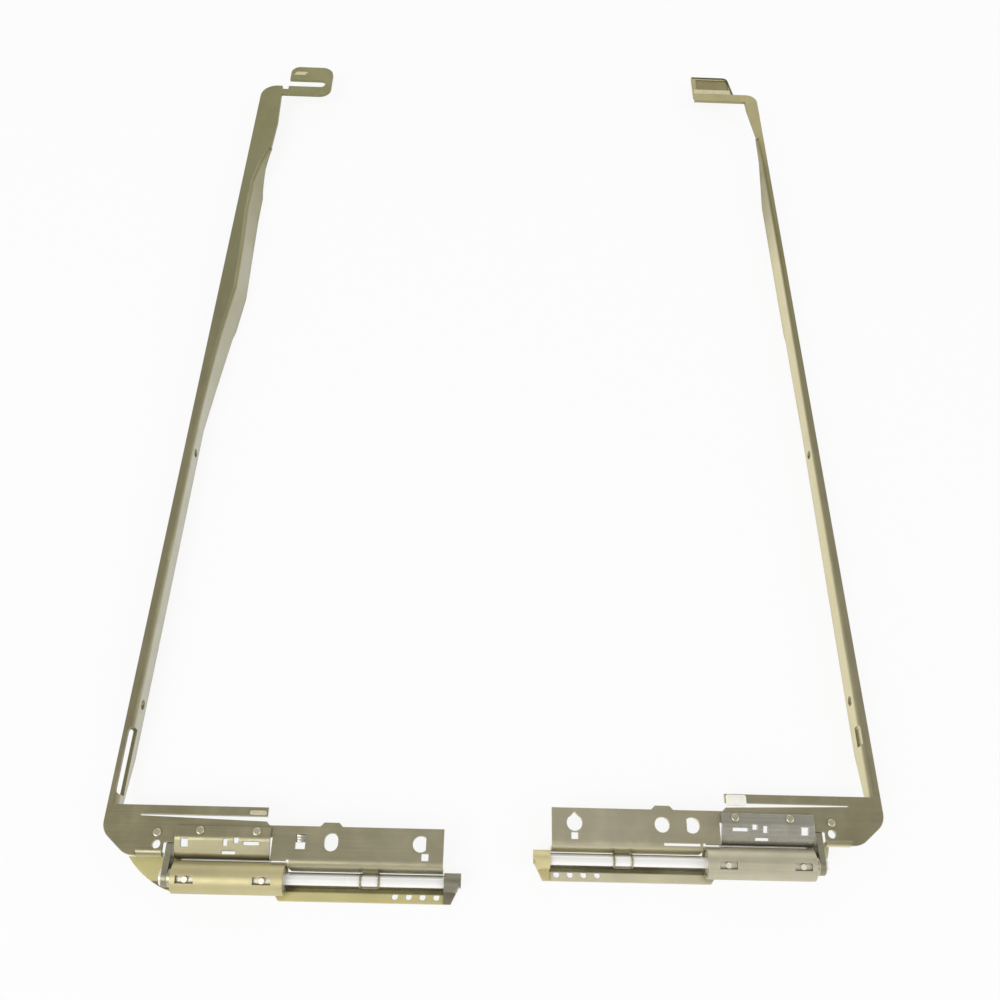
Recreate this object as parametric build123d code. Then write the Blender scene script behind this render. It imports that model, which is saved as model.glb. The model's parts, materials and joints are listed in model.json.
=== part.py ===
from build123d import *
import os
from dataclasses import dataclass

# Laptop hinge pair: two stamped display brackets, each carrying a friction
# hinge whose base leaf screws to the laptop's lower half. Millimetres.
#
# Each hinge is drawn in its own frame: x runs inward from the arm's outer
# edge, y runs up the arm from the lip's edge, z runs up from the table.
# The right hinge is drawn the same way and mirrored into place.

# Whole pair
PAIR_GAP = 14.6
RIGHT_AHEAD = 4.9
FLANGE_DEPTH = 5.4
SHEET = 0.8
BEND = 0.3

# Arm
ARM_LENGTH = 220.5
ARM_FACE = 2.1
FLANGE_STEP = 0.5
TALL_START = 128.0
STEP_RAMP = 3.0
FINGER_TIP = 2.2
FINGER_LENGTH = 10.0
RELIEF_DROP = 2.4
SIDE_HOLE_D = 2.2
SIDE_HOLE_FIRST = 21.5
SIDE_HOLE_PITCH = 65.0
SIDE_HOLE_Z = 2.9

# Top tabs
TAB_REACH = 22.0
TAB_DROP = 1.0
TAB_BAR = 3.9
TAB_SLOT = 3.2
TAB_UPPER = 6.4
TAB_START = 8.4
TAB_ROUND = 3.6
TAB_NOTCH = 1.5
CUT_TAB_REACH = 20.4
CUT_TAB_START = 6.9
CUT_TAB_BAR = 3.4
CUT_TAB_UPPER = 9.1
CUT_TAB_SLANT = 1.7
CUT_TAB_FRAME = 1.3
CUT_TAB_PANEL = 4.6
PANEL_DEPTH = 0.3

# Hinge plate and lip
PLATE_LENGTH = 69.3
PLATE_DEPTH = 8.0
FOLD_ROUND = 1.6
LIP_DEPTH = 1.8
LIP_LENGTH = 33.0
SLIT_START = 7.0
SLIT_NARROW = 0.3
SLIT_WIDE = 1.0
PLATE_STEP = 0.7
CORNER_DEPTH = 9.8
CORNER_CUT_X = 5.6
CORNER_CUT_Y = 5.2
CORNER_ROUND = 4.0
CORNER_RUN = 7.4
CORNER_FLANGE = 2.2
WELL_START = 12.7
WELL_TOP = 7.2
CRADLE_WELL = 5.8
WELL_END = 34.6
WELL_STRIP = 10.2
BUMP_START = 44.0
BUMP_LENGTH = 4.6
BUMP_HEIGHT = 0.8
PLATE_HOLES_Y = -6.5
LAST_HOLE_INSET = 4.7
PLATE_HOLES_X = (40.3, 46.5, PLATE_LENGTH - LAST_HOLE_INSET)
KEY_NOTCH_Y = -9.0
KEY_NOTCH = 1.4
BEND_SLIT_Y = -10.3
BEND_SLIT_WIDTH = 0.6
SQUARE_HOLE = (2.0, 2.9)
OVAL_HOLE = (3.5, 2.8)
PEG_HOLE_R = 1.55
DEE_HOLE_R = 1.6
DEE_FLAT = 1.1
DROP_SHOULDER = (1.4, 0.7)
DROP_POINT = 2.2
CORNER_HOLE_X = 11.4
CORNER_HOLE_Y = -7.6
CORNER_HOLE_D = 1.7

# Hinge line
SHAFT_D = 2.2
RUNNING = 0.05
LEAF_SHEET = 0.7
FOLD_CLEARANCE = 0.2
AXIS_SETBACK = 1.9
CHEEK_START = 13.4
CHEEK_THICK = 1.2
CHEEK_R = 2.0
CHEEK_FOOT = 0.8
CHEEK_FOOT_LENGTH = 3.1
CHEEK_NECK = 0.7
CHEEK_GAP = 0.1
CHEEK_FOOT_REACH = 5.5
SHAFT_HEAD = 0.5
SHAFT_HEAD_R = 1.7
WASHER = 0.6
END_PLAY = 0.3
BARREL_LENGTH = 22.2
SEAM = 0.35
SLEEVE_INSET = 0.3
SLEEVE_SLIT = 0.5
WINDOW_LENGTH = 3.6
WINDOW_WIDTH = 1.5
WINDOW_INSET = 1.1
WINDOW_PITCH = 15.2
WINDOW_TILT = 74.0
STUD_D = 1.2
STUD_BELOW = 0.15

# Base leaf
FOOT_START = 35.0
FOOT_OFFSET = 1.3
FOOT_DEPTH = 2.5
LEDGE_DROP = 0.3
FOOT_HOLE_D = 1.2
FOOT_HOLE_PITCH = 2.8
FOOT_HOLE_COUNT = 4
FOOT_HOLE_INSET = 1.2
STRIP_FRONT = 2.8
WING_REAR = 4.0
WING_BULGE = 1.0
CAP_GAP = 0.3
CAP_LENGTH = 3.4
CAP_R = 1.8
CAP_WALL = 0.9
CAP_CHAMFER = 2.0

# Cradle, saddle, rings, pad and rivets
CRADLE_SHEET = 0.6
CRADLE_START = 15.0
CRADLE_END = 34.2
CRADLE_TOP = 4.0
CRADLE_TURN = 6.2
CRADLE_DIP = 3.7
CRADLE_LOW = 1.6
CRADLE_BEND = 1.2
CRADLE_GAP = 0.3
CRADLE_SIDE_GAP = 0.2
CRADLE_SLOTS = (
    (2.0, 3.2, 1.5, 1.5),
    (10.2, 3.0, 0.9, 1.3),
    (12.4, 2.6, 1.0, 1.0),
    (10.9, 4.8, 2.8, 0.6),
    (15.4, 3.1, 3.2, 0.7))
SADDLE_INSET = 16.2
SADDLE_WIDTH = 3.2
SADDLE_SHEET = 0.4
SADDLE_PLATE_LOW = 0.7
SADDLE_FIT = 0.02
RING_THICK = 0.3
RING_GROOVE = 0.25
RING_R = 1.4
RING_SPLIT = 0.9
RING_PLAY = 0.1
PAD_THICK = 0.4
PAD_EDGE = 0.2
RIVET_R = 0.5
RIVET_HEAD_R = 0.85
RIVET_HEAD = 0.4
RIVET_CROWN = 0.8
CRADLE_RIVET_Y = -4.9
CRADLE_RIVETS_X = (20.0, 31.4)
CHEEK_RIVET_Y = -5.4
SADDLE_RIVET_Z = 1.4
SADDLE_RIVET_R = 0.35
SADDLE_RIVET_HEAD_R = 0.6

# Levels and lines that follow from the sizes above
FACE_BOTTOM = FLANGE_DEPTH - SHEET
BEND_OUTER = BEND + SHEET
PLATE_TOP_Y = -(LIP_DEPTH + SLIT_WIDE + PLATE_STEP)
FOLD_Y = PLATE_TOP_Y - PLATE_DEPTH
AXIS_Y = FOLD_Y - AXIS_SETBACK
BARREL_R = (FLANGE_DEPTH + LEAF_SHEET + FOLD_CLEARANCE) / 2
AXIS_Z = BARREL_R
BARREL_BORE_R = BARREL_R - LEAF_SHEET
SHAFT_R = SHAFT_D / 2
BEARING_R = SHAFT_R + RUNNING
CHEEK_END = CHEEK_START + CHEEK_THICK
WASHER_END = CHEEK_END + WASHER
BARREL_START = WASHER_END + END_PLAY
BARREL_END = BARREL_START + BARREL_LENGTH
FOLD_START = BARREL_END + 2 * END_PLAY
CAP_START = PLATE_LENGTH + CAP_GAP
CAP_END = CAP_START + CAP_LENGTH
SHAFT_END = CAP_END - CAP_WALL - END_PLAY
PAIR_WIDTH = 2 * CAP_END + PAIR_GAP
SADDLE_START = PLATE_LENGTH - SADDLE_INSET
FOOT_REAR = AXIS_Y - FOOT_OFFSET
FOOT_FRONT = FOOT_REAR - FOOT_DEPTH
TAB_Y = ARM_LENGTH + TAB_DROP
TAB_TOP_Y = TAB_Y + TAB_BAR + TAB_SLOT + TAB_UPPER
CUT_TAB_TOP_Y = ARM_LENGTH + CUT_TAB_BAR + CUT_TAB_UPPER
MIDDLE_Y = (max(TAB_TOP_Y, CUT_TAB_TOP_Y + RIGHT_AHEAD) + FOOT_FRONT) / 2
CRADLE_FACE = FLANGE_DEPTH + CRADLE_SHEET


@dataclass(frozen=True)
class Hand:
    """What differs between the two hinges of the pair."""

    name: str
    slotted_tab: bool
    arm_stations: tuple
    flange_end: float
    head_plan: tuple
    head_corner: float
    relief_start: float
    relief_length: float
    relief_neck: float
    wing_start: float
    plate_holes: tuple
    key_notch_offset: float
    bend_slit: tuple
    pad_length: float
    pad_top: float
    pad_bottom: float


# Arm stations are (y, width of the front face, how far the side flange leans in).
# Head plans are (y, width) from the end of the flange to the tab.
LEFT = Hand(
    name="left",
    slotted_tab=True,
    arm_stations=(
        (-LIP_DEPTH, ARM_FACE, 0.0), (95.0, 2.2, 0.0), (108.0, 2.4, 1.0), (124.0, 3.1, 1.9),
        (140.0, 4.5, 1.8), (156.0, 4.0, 1.8), (170.0, 3.2, 2.2), (182.0, 3.2, 2.2),
        (190.0, 4.6, 1.4), (197.0, 6.7, 0.2)),
    flange_end=17.0,
    head_plan=((197.0, 6.7), (208.0, 7.1), (TAB_Y + TAB_BAR, 6.4)),
    head_corner=5.0,
    relief_start=2.0,
    relief_length=14.0,
    relief_neck=1.0,
    wing_start=4.8,
    plate_holes=("square", "oval", "dee"),
    key_notch_offset=1.0,
    bend_slit=(),
    pad_length=3.4,
    pad_top=-0.7,
    pad_bottom=-1.6)
RIGHT = Hand(
    name="right",
    slotted_tab=False,
    arm_stations=(
        (-LIP_DEPTH, ARM_FACE, 0.0), (95.0, 1.7, 0.0), (115.0, 1.5, 0.4), (150.0, 1.4, 0.6),
        (195.0, 1.5, 0.6), (204.0, 2.2, 0.2)),
    flange_end=26.0,
    head_plan=((204.0, 2.2), (217.0, 3.9), (ARM_LENGTH + CUT_TAB_BAR, 4.2)),
    head_corner=3.4,
    relief_start=11.0,
    relief_length=4.4,
    relief_neck=1.6,
    wing_start=10.8,
    plate_holes=("dee", "round", "drop"),
    key_notch_offset=0.0,
    bend_slit=(38.8, 46.3),
    pad_length=4.2,
    pad_top=-0.2,
    pad_bottom=-2.4)


def plan(sketch, bottom, top):
    """Raise a plan outline from one level to another."""
    return extrude(Pos(0, 0, bottom) * sketch, amount=top - bottom)


def across(sketch, start, end):
    """Run a side section, drawn as (y, z), along the hinge line."""
    return extrude(Plane.YZ.offset(start) * sketch, amount=end - start)


def along_arm(sketch, start, end):
    """Run an arm section, drawn as (x, z), up the arm."""
    return extrude(Plane.XZ.offset(-end) * sketch, amount=end - start)


def rect(x0, y0, x1, y1):
    """Rectangle between two corners."""
    return Pos((x0 + x1) / 2, (y0 + y1) / 2) * Rectangle(abs(x1 - x0), abs(y1 - y0))


def outline(*points):
    """Closed straight-sided outline."""
    return make_face(Polyline(*points, close=True))


def bent_sheet(points, radius, thickness, side):
    """Section of a bent sheet, thickened to one side of its drawn face."""
    return make_face(offset(FilletPolyline(*points, radius=radius), thickness, side=side))


def rod(radius, start, end):
    """Round bar on the hinge axis."""
    return across(Pos(AXIS_Y, AXIS_Z) * Circle(radius), start, end)


def tube(bore, radius, start, end):
    """Round tube on the hinge axis."""
    return rod(radius, start, end) - rod(bore, start, end)


def arm_section(width, lean):
    """Angle section of the arm: a front face, and a side flange that leans in as it falls."""
    return bent_sheet(
        [(0, FLANGE_DEPTH), (width, FLANGE_DEPTH), (width + lean, 0)], BEND_OUTER, SHEET, Side.RIGHT)


def arm(hand):
    """Angle-section arm, lofted through its stations and trimmed along the flange's low edge."""
    sections = [Plane.XZ.offset(-y) * arm_section(width, lean) for y, width, lean in hand.arm_stations]
    bar = loft(sections, ruled=True)
    head_y = hand.head_plan[0][0]
    below_edge = outline(
        (-LIP_DEPTH, -SHEET),
        (-LIP_DEPTH, FACE_BOTTOM - BEND),
        (0, FINGER_TIP),
        (FINGER_LENGTH, FLANGE_STEP),
        (TALL_START - STEP_RAMP, FLANGE_STEP),
        (TALL_START, 0),
        (head_y - hand.flange_end, 0),
        (head_y, FACE_BOTTOM - BEND),
        (head_y, -SHEET))
    widest = max(width + lean for _, width, lean in hand.arm_stations)
    bar -= across(below_edge, 0, widest + SHEET)
    slot_width = 2 * (ARM_FACE - hand.relief_neck)
    relief = Pos(ARM_FACE, hand.relief_start + hand.relief_length / 2) * SlotOverall(
        hand.relief_length, slot_width, rotation=90)
    bar -= plan(relief, FLANGE_DEPTH - RELIEF_DROP, FLANGE_DEPTH + SHEET)
    for hole_y in (SIDE_HOLE_FIRST, SIDE_HOLE_FIRST + SIDE_HOLE_PITCH):
        hole = Pos(hole_y, SIDE_HOLE_Z) * Circle(SIDE_HOLE_D / 2)
        bar -= across(hole, 0, ARM_FACE + SHEET)
    return bar


def head(hand):
    """Flat head of the arm, with its rounded outer corner."""
    start, start_width = hand.head_plan[0]
    top = hand.head_plan[-1][0]
    inner_edge = [(width, y) for y, width in hand.head_plan]
    face = outline((0, start - SHEET), (start_width, start - SHEET), *inner_edge, (0, top))
    corner = face.vertices().sort_by(Axis.Y)[-2:].sort_by(Axis.X)[0]
    return plan(fillet(corner, hand.head_corner), FACE_BOTTOM, FLANGE_DEPTH)


def slotted_tab(neck):
    """Hairpin tab: a bar that turns back over a slot open at its outer end."""
    bar_top = TAB_Y + TAB_BAR
    slot_top = bar_top + TAB_SLOT
    face = rect(TAB_START, TAB_Y, TAB_REACH, TAB_TOP_Y)
    face = fillet(face.vertices().sort_by(Axis.X)[-2:], TAB_ROUND)
    free_end = face.vertices().sort_by(Axis.Y)[-2:].sort_by(Axis.X)[0]
    face = fillet(free_end, TAB_ROUND - SHEET)
    slot_end = TAB_REACH - TAB_ROUND + TAB_SLOT / 2
    face -= rect(TAB_START - SHEET, bar_top, slot_end - TAB_SLOT / 2, slot_top)
    face -= Pos(slot_end - TAB_SLOT / 2, (bar_top + slot_top) / 2) * Circle(TAB_SLOT / 2)
    face += rect(neck - SHEET, TAB_Y, TAB_START + SHEET, bar_top - TAB_NOTCH)
    return plan(face, FACE_BOTTOM, FLANGE_DEPTH)


def cut_tab(neck):
    """Plain tab: a bar, then a lower step with a bare shallow panel."""
    step_y = ARM_LENGTH + CUT_TAB_BAR
    top = step_y + CUT_TAB_UPPER
    bar = plan(rect(neck - SHEET, ARM_LENGTH, CUT_TAB_REACH, step_y), FACE_BOTTOM, FLANGE_DEPTH)
    step = outline(
        (CUT_TAB_START, step_y - SHEET),
        (CUT_TAB_START + CUT_TAB_SLANT, top),
        (CUT_TAB_REACH, top),
        (CUT_TAB_REACH, step_y - SHEET))
    slanted = step.vertices().sort_by(Axis.Y)[-2:].sort_by(Axis.X)[0]
    step = fillet(slanted, TAB_NOTCH)
    step = plan(step, FACE_BOTTOM - SHEET, FACE_BOTTOM)
    panel_top = top - CUT_TAB_FRAME
    panel = rect(
        CUT_TAB_START + CUT_TAB_SLANT, panel_top - CUT_TAB_PANEL,
        CUT_TAB_REACH - CUT_TAB_FRAME, panel_top)
    step -= plan(panel, FACE_BOTTOM - PANEL_DEPTH, FACE_BOTTOM)
    return bar + step


def plate_hole(shape):
    """Outline of one of the plate's stamped holes, about its own centre."""
    if shape == "square":
        return Rectangle(*SQUARE_HOLE)
    if shape == "oval":
        return SlotOverall(*OVAL_HOLE, rotation=90)
    if shape == "round":
        return Circle(PEG_HOLE_R)
    if shape == "dee":
        return Circle(DEE_HOLE_R) & rect(-DEE_HOLE_R, -DEE_HOLE_R, DEE_FLAT, DEE_HOLE_R)
    shoulder_x, shoulder_y = DROP_SHOULDER
    point = outline((-shoulder_x, shoulder_y), (shoulder_x, shoulder_y), (0, DROP_POINT))
    return Circle(DEE_HOLE_R) + point


def lip_and_plate():
    """Flat hinge plate in plan: outer corner, well for the barrel, lip and slit."""
    corner_end = (CORNER_RUN, -CORNER_DEPTH)
    flange_y = -CORNER_DEPTH + BEND_OUTER
    cradle_side = CRADLE_START - CRADLE_SIDE_GAP
    slit_low = -LIP_DEPTH - SLIT_WIDE
    edge = FilletPolyline(
        (0, 0), (0, -CORNER_CUT_Y), (CORNER_CUT_X, -CORNER_DEPTH), corner_end, radius=CORNER_ROUND)
    edge += Polyline(
        corner_end,
        (CORNER_RUN, flange_y),
        (WELL_START, flange_y),
        (WELL_START, -WELL_TOP),
        (cradle_side, -WELL_TOP),
        (cradle_side, -CRADLE_WELL),
        (WELL_END, -CRADLE_WELL),
        (WELL_END, -WELL_STRIP),
        (BARREL_END, -WELL_STRIP),
        (BARREL_END, FOLD_Y + FOLD_ROUND),
        (PLATE_LENGTH, FOLD_Y + FOLD_ROUND),
        (PLATE_LENGTH, PLATE_TOP_Y),
        (LIP_LENGTH + PLATE_STEP, PLATE_TOP_Y),
        (LIP_LENGTH, slit_low),
        (LIP_LENGTH, 0),
        (0, 0))
    face = make_face(edge)
    slit_far = LIP_LENGTH + SHEET
    face -= outline(
        (SLIT_START, -LIP_DEPTH),
        (slit_far, -LIP_DEPTH),
        (slit_far, slit_low),
        (SLIT_START, -LIP_DEPTH - SLIT_NARROW))
    bump_end = BUMP_START + BUMP_LENGTH
    bump_top = PLATE_TOP_Y + BUMP_HEIGHT
    face += outline(
        (BUMP_START, PLATE_TOP_Y - SHEET),
        (BUMP_START, PLATE_TOP_Y),
        (BUMP_START + BUMP_HEIGHT, bump_top),
        (bump_end - BUMP_HEIGHT, bump_top),
        (bump_end, PLATE_TOP_Y),
        (bump_end, PLATE_TOP_Y - SHEET))
    return face


def display_bracket(hand):
    """The whole stamped bracket: arm, tab, plate, lip and folded edges."""
    body = plan(lip_and_plate(), FACE_BOTTOM, FLANGE_DEPTH)
    fold = bent_sheet(
        [(FOLD_Y + 2 * FOLD_ROUND, FLANGE_DEPTH), (FOLD_Y, FLANGE_DEPTH), (FOLD_Y, 0)],
        FOLD_ROUND, SHEET, Side.LEFT)
    body += across(fold, FOLD_START, PLATE_LENGTH)
    edge = bent_sheet(
        [(-CORNER_DEPTH + 2 * BEND_OUTER, FLANGE_DEPTH), (-CORNER_DEPTH, FLANGE_DEPTH),
         (-CORNER_DEPTH, FLANGE_DEPTH - CORNER_FLANGE)],
        BEND_OUTER, SHEET, Side.LEFT)
    body += across(edge, CORNER_RUN, WELL_START)
    body += arm(hand) + head(hand)
    neck = hand.head_plan[-1][1]
    body += slotted_tab(neck) if hand.slotted_tab else cut_tab(neck)
    holes = Pos(CORNER_HOLE_X, CORNER_HOLE_Y) * Circle(CORNER_HOLE_D / 2)
    for x, shape in zip(PLATE_HOLES_X, hand.plate_holes):
        holes += Pos(x, PLATE_HOLES_Y) * plate_hole(shape)
    notch_x = PLATE_HOLES_X[-1] + hand.key_notch_offset
    holes += Pos(notch_x, KEY_NOTCH_Y) * Rectangle(KEY_NOTCH, KEY_NOTCH)
    if hand.bend_slit:
        low_y = BEND_SLIT_Y - BEND_SLIT_WIDTH / 2
        holes += rect(hand.bend_slit[0], low_y, hand.bend_slit[1], low_y + BEND_SLIT_WIDTH)
    for x in CRADLE_RIVETS_X:
        holes += Pos(x, CRADLE_RIVET_Y) * Circle(RIVET_R)
    holes += Pos(*cheek_rivet_place()) * Circle(RIVET_R)
    body -= plan(holes, FACE_BOTTOM - SHEET, FLANGE_DEPTH)
    return body - saddle_rivet_shank()


def cheek_rivet_place():
    """Plan position of the rivet through the cheek's foot."""
    return (CHEEK_END - CHEEK_FOOT_REACH / 2 - CHEEK_THICK / 2, CHEEK_RIVET_Y)


def saddle_rivet_shank():
    """Shank of the rivet that ties the saddle to the folded edge."""
    x = SADDLE_START + SADDLE_WIDTH / 2
    hole = Pos(x, SADDLE_RIVET_Z) * Circle(SADDLE_RIVET_R)
    return along_arm(hole, FOLD_Y - SADDLE_SHEET, FOLD_Y + SHEET)


def spindle_cheek():
    """Upright cheek that holds the shaft's outer end, with a foot under the plate."""
    tongue_rear = -WELL_TOP - CHEEK_GAP
    section = Pos(AXIS_Y, AXIS_Z) * Circle(CHEEK_R)
    section += rect(AXIS_Y, AXIS_Z - CHEEK_R / 2, tongue_rear, AXIS_Z + CHEEK_R)
    upright = across(section, CHEEK_START, CHEEK_END)
    foot_plan = rect(
        CHEEK_END - CHEEK_FOOT_REACH, tongue_rear + CHEEK_FOOT_LENGTH,
        CHEEK_END, tongue_rear + CHEEK_NECK)
    foot_plan += rect(CHEEK_START, tongue_rear + CHEEK_NECK, CHEEK_END, tongue_rear - CHEEK_FOOT)
    foot = plan(foot_plan, FACE_BOTTOM - CHEEK_FOOT, FACE_BOTTOM)
    foot -= plan(Pos(*cheek_rivet_place()) * Circle(RIVET_R), 0, FACE_BOTTOM)
    return upright + foot - rod(SHAFT_R, CHEEK_START, CHEEK_END)


def hinge_shaft():
    """Polished shaft, headed over the cheek, with grooves for its two rings."""
    shaft = rod(SHAFT_R, CHEEK_START, SHAFT_END)
    shaft += rod(SHAFT_HEAD_R, CHEEK_START - SHAFT_HEAD, CHEEK_START)
    for start in ring_starts():
        shaft -= tube(SHAFT_R - RING_GROOVE, SHAFT_R + RUNNING, start, start + RING_THICK)
    return chamfer(shaft.edges().filter_by(GeomType.CIRCLE).sort_by(Axis.X)[-1], RING_GROOVE)


def ring_starts():
    """Where the two shaft rings begin, one each side of the saddle."""
    return (SADDLE_START - RING_PLAY - RING_THICK, SADDLE_START + SADDLE_WIDTH + RING_PLAY)


def shaft_rings():
    """Two split rings that keep the shaft from sliding through the saddle."""
    rings = Part()
    for start in ring_starts():
        ring = tube(SHAFT_R - RING_GROOVE, RING_R, start, start + RING_THICK)
        split = rect(AXIS_Y - RING_SPLIT / 2, AXIS_Z - BARREL_R, AXIS_Y + RING_SPLIT / 2, AXIS_Z)
        rings += ring - across(split, start, start + RING_THICK)
    return rings


def thrust_washer():
    """Washer between the cheek and the barrel."""
    return tube(BEARING_R, CHEEK_R, CHEEK_END, WASHER_END)


def saddle_strap():
    """Hooked strap from the folded edge round the under side of the shaft."""
    hook_r = SHAFT_R + SADDLE_FIT
    section = Pos(AXIS_Y, AXIS_Z) * (Circle(hook_r + SADDLE_SHEET) - Circle(hook_r))
    section -= rect(AXIS_Y - BARREL_R, AXIS_Z, AXIS_Y + BARREL_R, AXIS_Z + BARREL_R)
    section += rect(AXIS_Y + hook_r, AXIS_Z - SADDLE_SHEET, FOLD_Y, AXIS_Z)
    plate_top = FLANGE_DEPTH - FOLD_ROUND
    section += rect(FOLD_Y - SADDLE_SHEET, SADDLE_PLATE_LOW, FOLD_Y, plate_top)
    strap = across(section, SADDLE_START, SADDLE_START + SADDLE_WIDTH)
    return strap - saddle_rivet_shank()


def cradle_section():
    """Side section of the cradle: a rim on the plate, a chute, and a skirt behind the barrel."""
    low_y = AXIS_Y + BARREL_R + CRADLE_GAP + CRADLE_SHEET
    return bent_sheet(
        [(-CRADLE_TOP, FLANGE_DEPTH), (-CRADLE_TURN, FLANGE_DEPTH), (low_y, CRADLE_DIP), (low_y, CRADLE_LOW)],
        CRADLE_BEND, CRADLE_SHEET, Side.RIGHT)


def cradle_plate():
    """Plate riveted over the well, which slopes like a chute down behind the barrel."""
    plate = across(cradle_section(), CRADLE_START, CRADLE_END)
    for x, y, length, width in CRADLE_SLOTS:
        slot = Pos(CRADLE_START + x, -CRADLE_TOP - y) * Rectangle(length, width)
        plate -= plan(slot, 0, CRADLE_FACE)
    for x in CRADLE_RIVETS_X:
        plate -= plan(Pos(x, CRADLE_RIVET_Y) * Circle(RIVET_R), FLANGE_DEPTH, CRADLE_FACE)
    return plate


def rivet(bottom, top):
    """Round-headed rivet through a stack of sheets."""
    shank = plan(Circle(RIVET_R), bottom - RIVET_HEAD, top + RIVET_HEAD)
    upper = plan(Circle(RIVET_HEAD_R), top, top + RIVET_HEAD)
    lower = plan(Circle(RIVET_HEAD_R), bottom - RIVET_HEAD, bottom)
    upper = fillet(upper.edges().group_by(Axis.Z)[-1], RIVET_HEAD * RIVET_CROWN)
    return shank + upper + lower


def bracket_rivets():
    """Rivets that tie the cradle, the cheek and the saddle to the bracket."""
    rivets = Part()
    for x in CRADLE_RIVETS_X:
        rivets += Pos(x, CRADLE_RIVET_Y) * rivet(FACE_BOTTOM, CRADLE_FACE)
    rivets += Pos(*cheek_rivet_place()) * rivet(FACE_BOTTOM - CHEEK_FOOT, FLANGE_DEPTH)
    head = Pos(SADDLE_START + SADDLE_WIDTH / 2, SADDLE_RIVET_Z) * Circle(SADDLE_RIVET_HEAD_R)
    front = FOLD_Y - SADDLE_SHEET
    rear = FOLD_Y + SHEET
    saddle_rivet = saddle_rivet_shank()
    saddle_rivet += along_arm(head, front - SADDLE_SHEET, front)
    saddle_rivet += along_arm(head, rear, rear + SADDLE_SHEET)
    return rivets + saddle_rivet


def lip_pad(hand):
    """Pale pad stuck on the free end of the lip."""
    far = LIP_LENGTH - PAD_EDGE
    face = rect(far - hand.pad_length, hand.pad_bottom, far, hand.pad_top)
    return plan(fillet(face.vertices(), PAD_EDGE), FLANGE_DEPTH, FLANGE_DEPTH + PAD_THICK)


def window_starts():
    """Where the barrel's two windows begin along the hinge line."""
    first = BARREL_START + WINDOW_INSET
    return (first, first + WINDOW_PITCH)


def facing(shape, x, distance):
    """Turn a shape drawn along -Y to face the windows' direction from the axis."""
    return Pos(x, AXIS_Y, AXIS_Z) * Rot(X=-WINDOW_TILT) * Pos(0, -distance, 0) * shape


def base_leaf(hand):
    """Base leaf: rolled barrel, outer wing, and the slotted inner foot strip."""
    strip_front = AXIS_Y - STRIP_FRONT
    wing_rear = AXIS_Y + WING_REAR
    blank = rect(BARREL_START, strip_front, BARREL_END, AXIS_Y)
    wing = SagittaArc((hand.wing_start, wing_rear), (BARREL_START, strip_front), -WING_BULGE)
    wing += Polyline((BARREL_START, strip_front), (BARREL_START, wing_rear), (hand.wing_start, wing_rear))
    blank += make_face(wing)
    blank += outline(
        (FOOT_START, strip_front + SHEET),
        (FOOT_START + FOOT_DEPTH / 2, FOOT_FRONT),
        (CAP_START, FOOT_FRONT),
        (CAP_START, FOOT_REAR),
        (BARREL_END - SHEET, FOOT_REAR))
    first_hole = PLATE_LENGTH - FOOT_HOLE_INSET - (FOOT_HOLE_COUNT - 1) * FOOT_HOLE_PITCH
    hole_y = (FOOT_REAR + FOOT_FRONT) / 2
    for index in range(FOOT_HOLE_COUNT):
        blank -= Pos(first_hole + index * FOOT_HOLE_PITCH, hole_y) * Circle(FOOT_HOLE_D / 2)
    leaf = plan(blank, 0, LEAF_SHEET)
    ledge = rect(FOOT_REAR - SHEET, 0, FOLD_Y - FOLD_CLEARANCE, LEAF_SHEET - LEDGE_DROP)
    leaf += across(ledge, BARREL_END - SHEET, CAP_START)
    barrel = tube(BARREL_BORE_R, BARREL_R, BARREL_START, BARREL_END)
    seam = rect(AXIS_Y - BARREL_R - SHEET, LEAF_SHEET, AXIS_Y, LEAF_SHEET + SEAM)
    barrel -= across(seam, BARREL_START, BARREL_END)
    for start in window_starts():
        hole = Box(WINDOW_LENGTH, 2 * LEAF_SHEET, WINDOW_WIDTH)
        barrel -= facing(hole, start + WINDOW_LENGTH / 2, BARREL_R - LEAF_SHEET / 2)
    return leaf + barrel


def friction_sleeve():
    """Split sleeve pressed in the barrel, keyed by studs in its windows."""
    start = BARREL_START + SLEEVE_INSET
    end = BARREL_END - SLEEVE_INSET
    sleeve = tube(BEARING_R, BARREL_BORE_R, start, end)
    slit = rect(AXIS_Y - SLEEVE_SLIT / 2, AXIS_Z - BARREL_R, AXIS_Y + SLEEVE_SLIT / 2, AXIS_Z)
    sleeve -= across(slit, start, end)
    stud_top = BARREL_R - STUD_BELOW
    stud_root = (BEARING_R + BARREL_BORE_R) / 2
    stud = Rot(X=90) * Cylinder(STUD_D / 2, stud_top - stud_root)
    for window in window_starts():
        sleeve += facing(stud, window + WINDOW_LENGTH / 2, (stud_top + stud_root) / 2)
    return sleeve


def end_cap():
    """Cap on the foot's inner end that carries the shaft's far end."""
    section = Pos(AXIS_Y, AXIS_Z) * Circle(CAP_R)
    section += rect(AXIS_Y - CAP_R, 0, AXIS_Y, AXIS_Z)
    section += rect(FOOT_FRONT, 0, AXIS_Y, CAP_R - LEAF_SHEET)
    cap = across(section, CAP_START, CAP_END)
    corner = outline(
        (CAP_END, FOOT_FRONT),
        (CAP_END - CAP_CHAMFER, FOOT_FRONT),
        (CAP_END, FOOT_FRONT + 2 * CAP_CHAMFER))
    cap -= plan(corner, 0, 2 * AXIS_Z)
    return cap - rod(BEARING_R, CAP_START, CAP_END - CAP_WALL)


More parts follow.
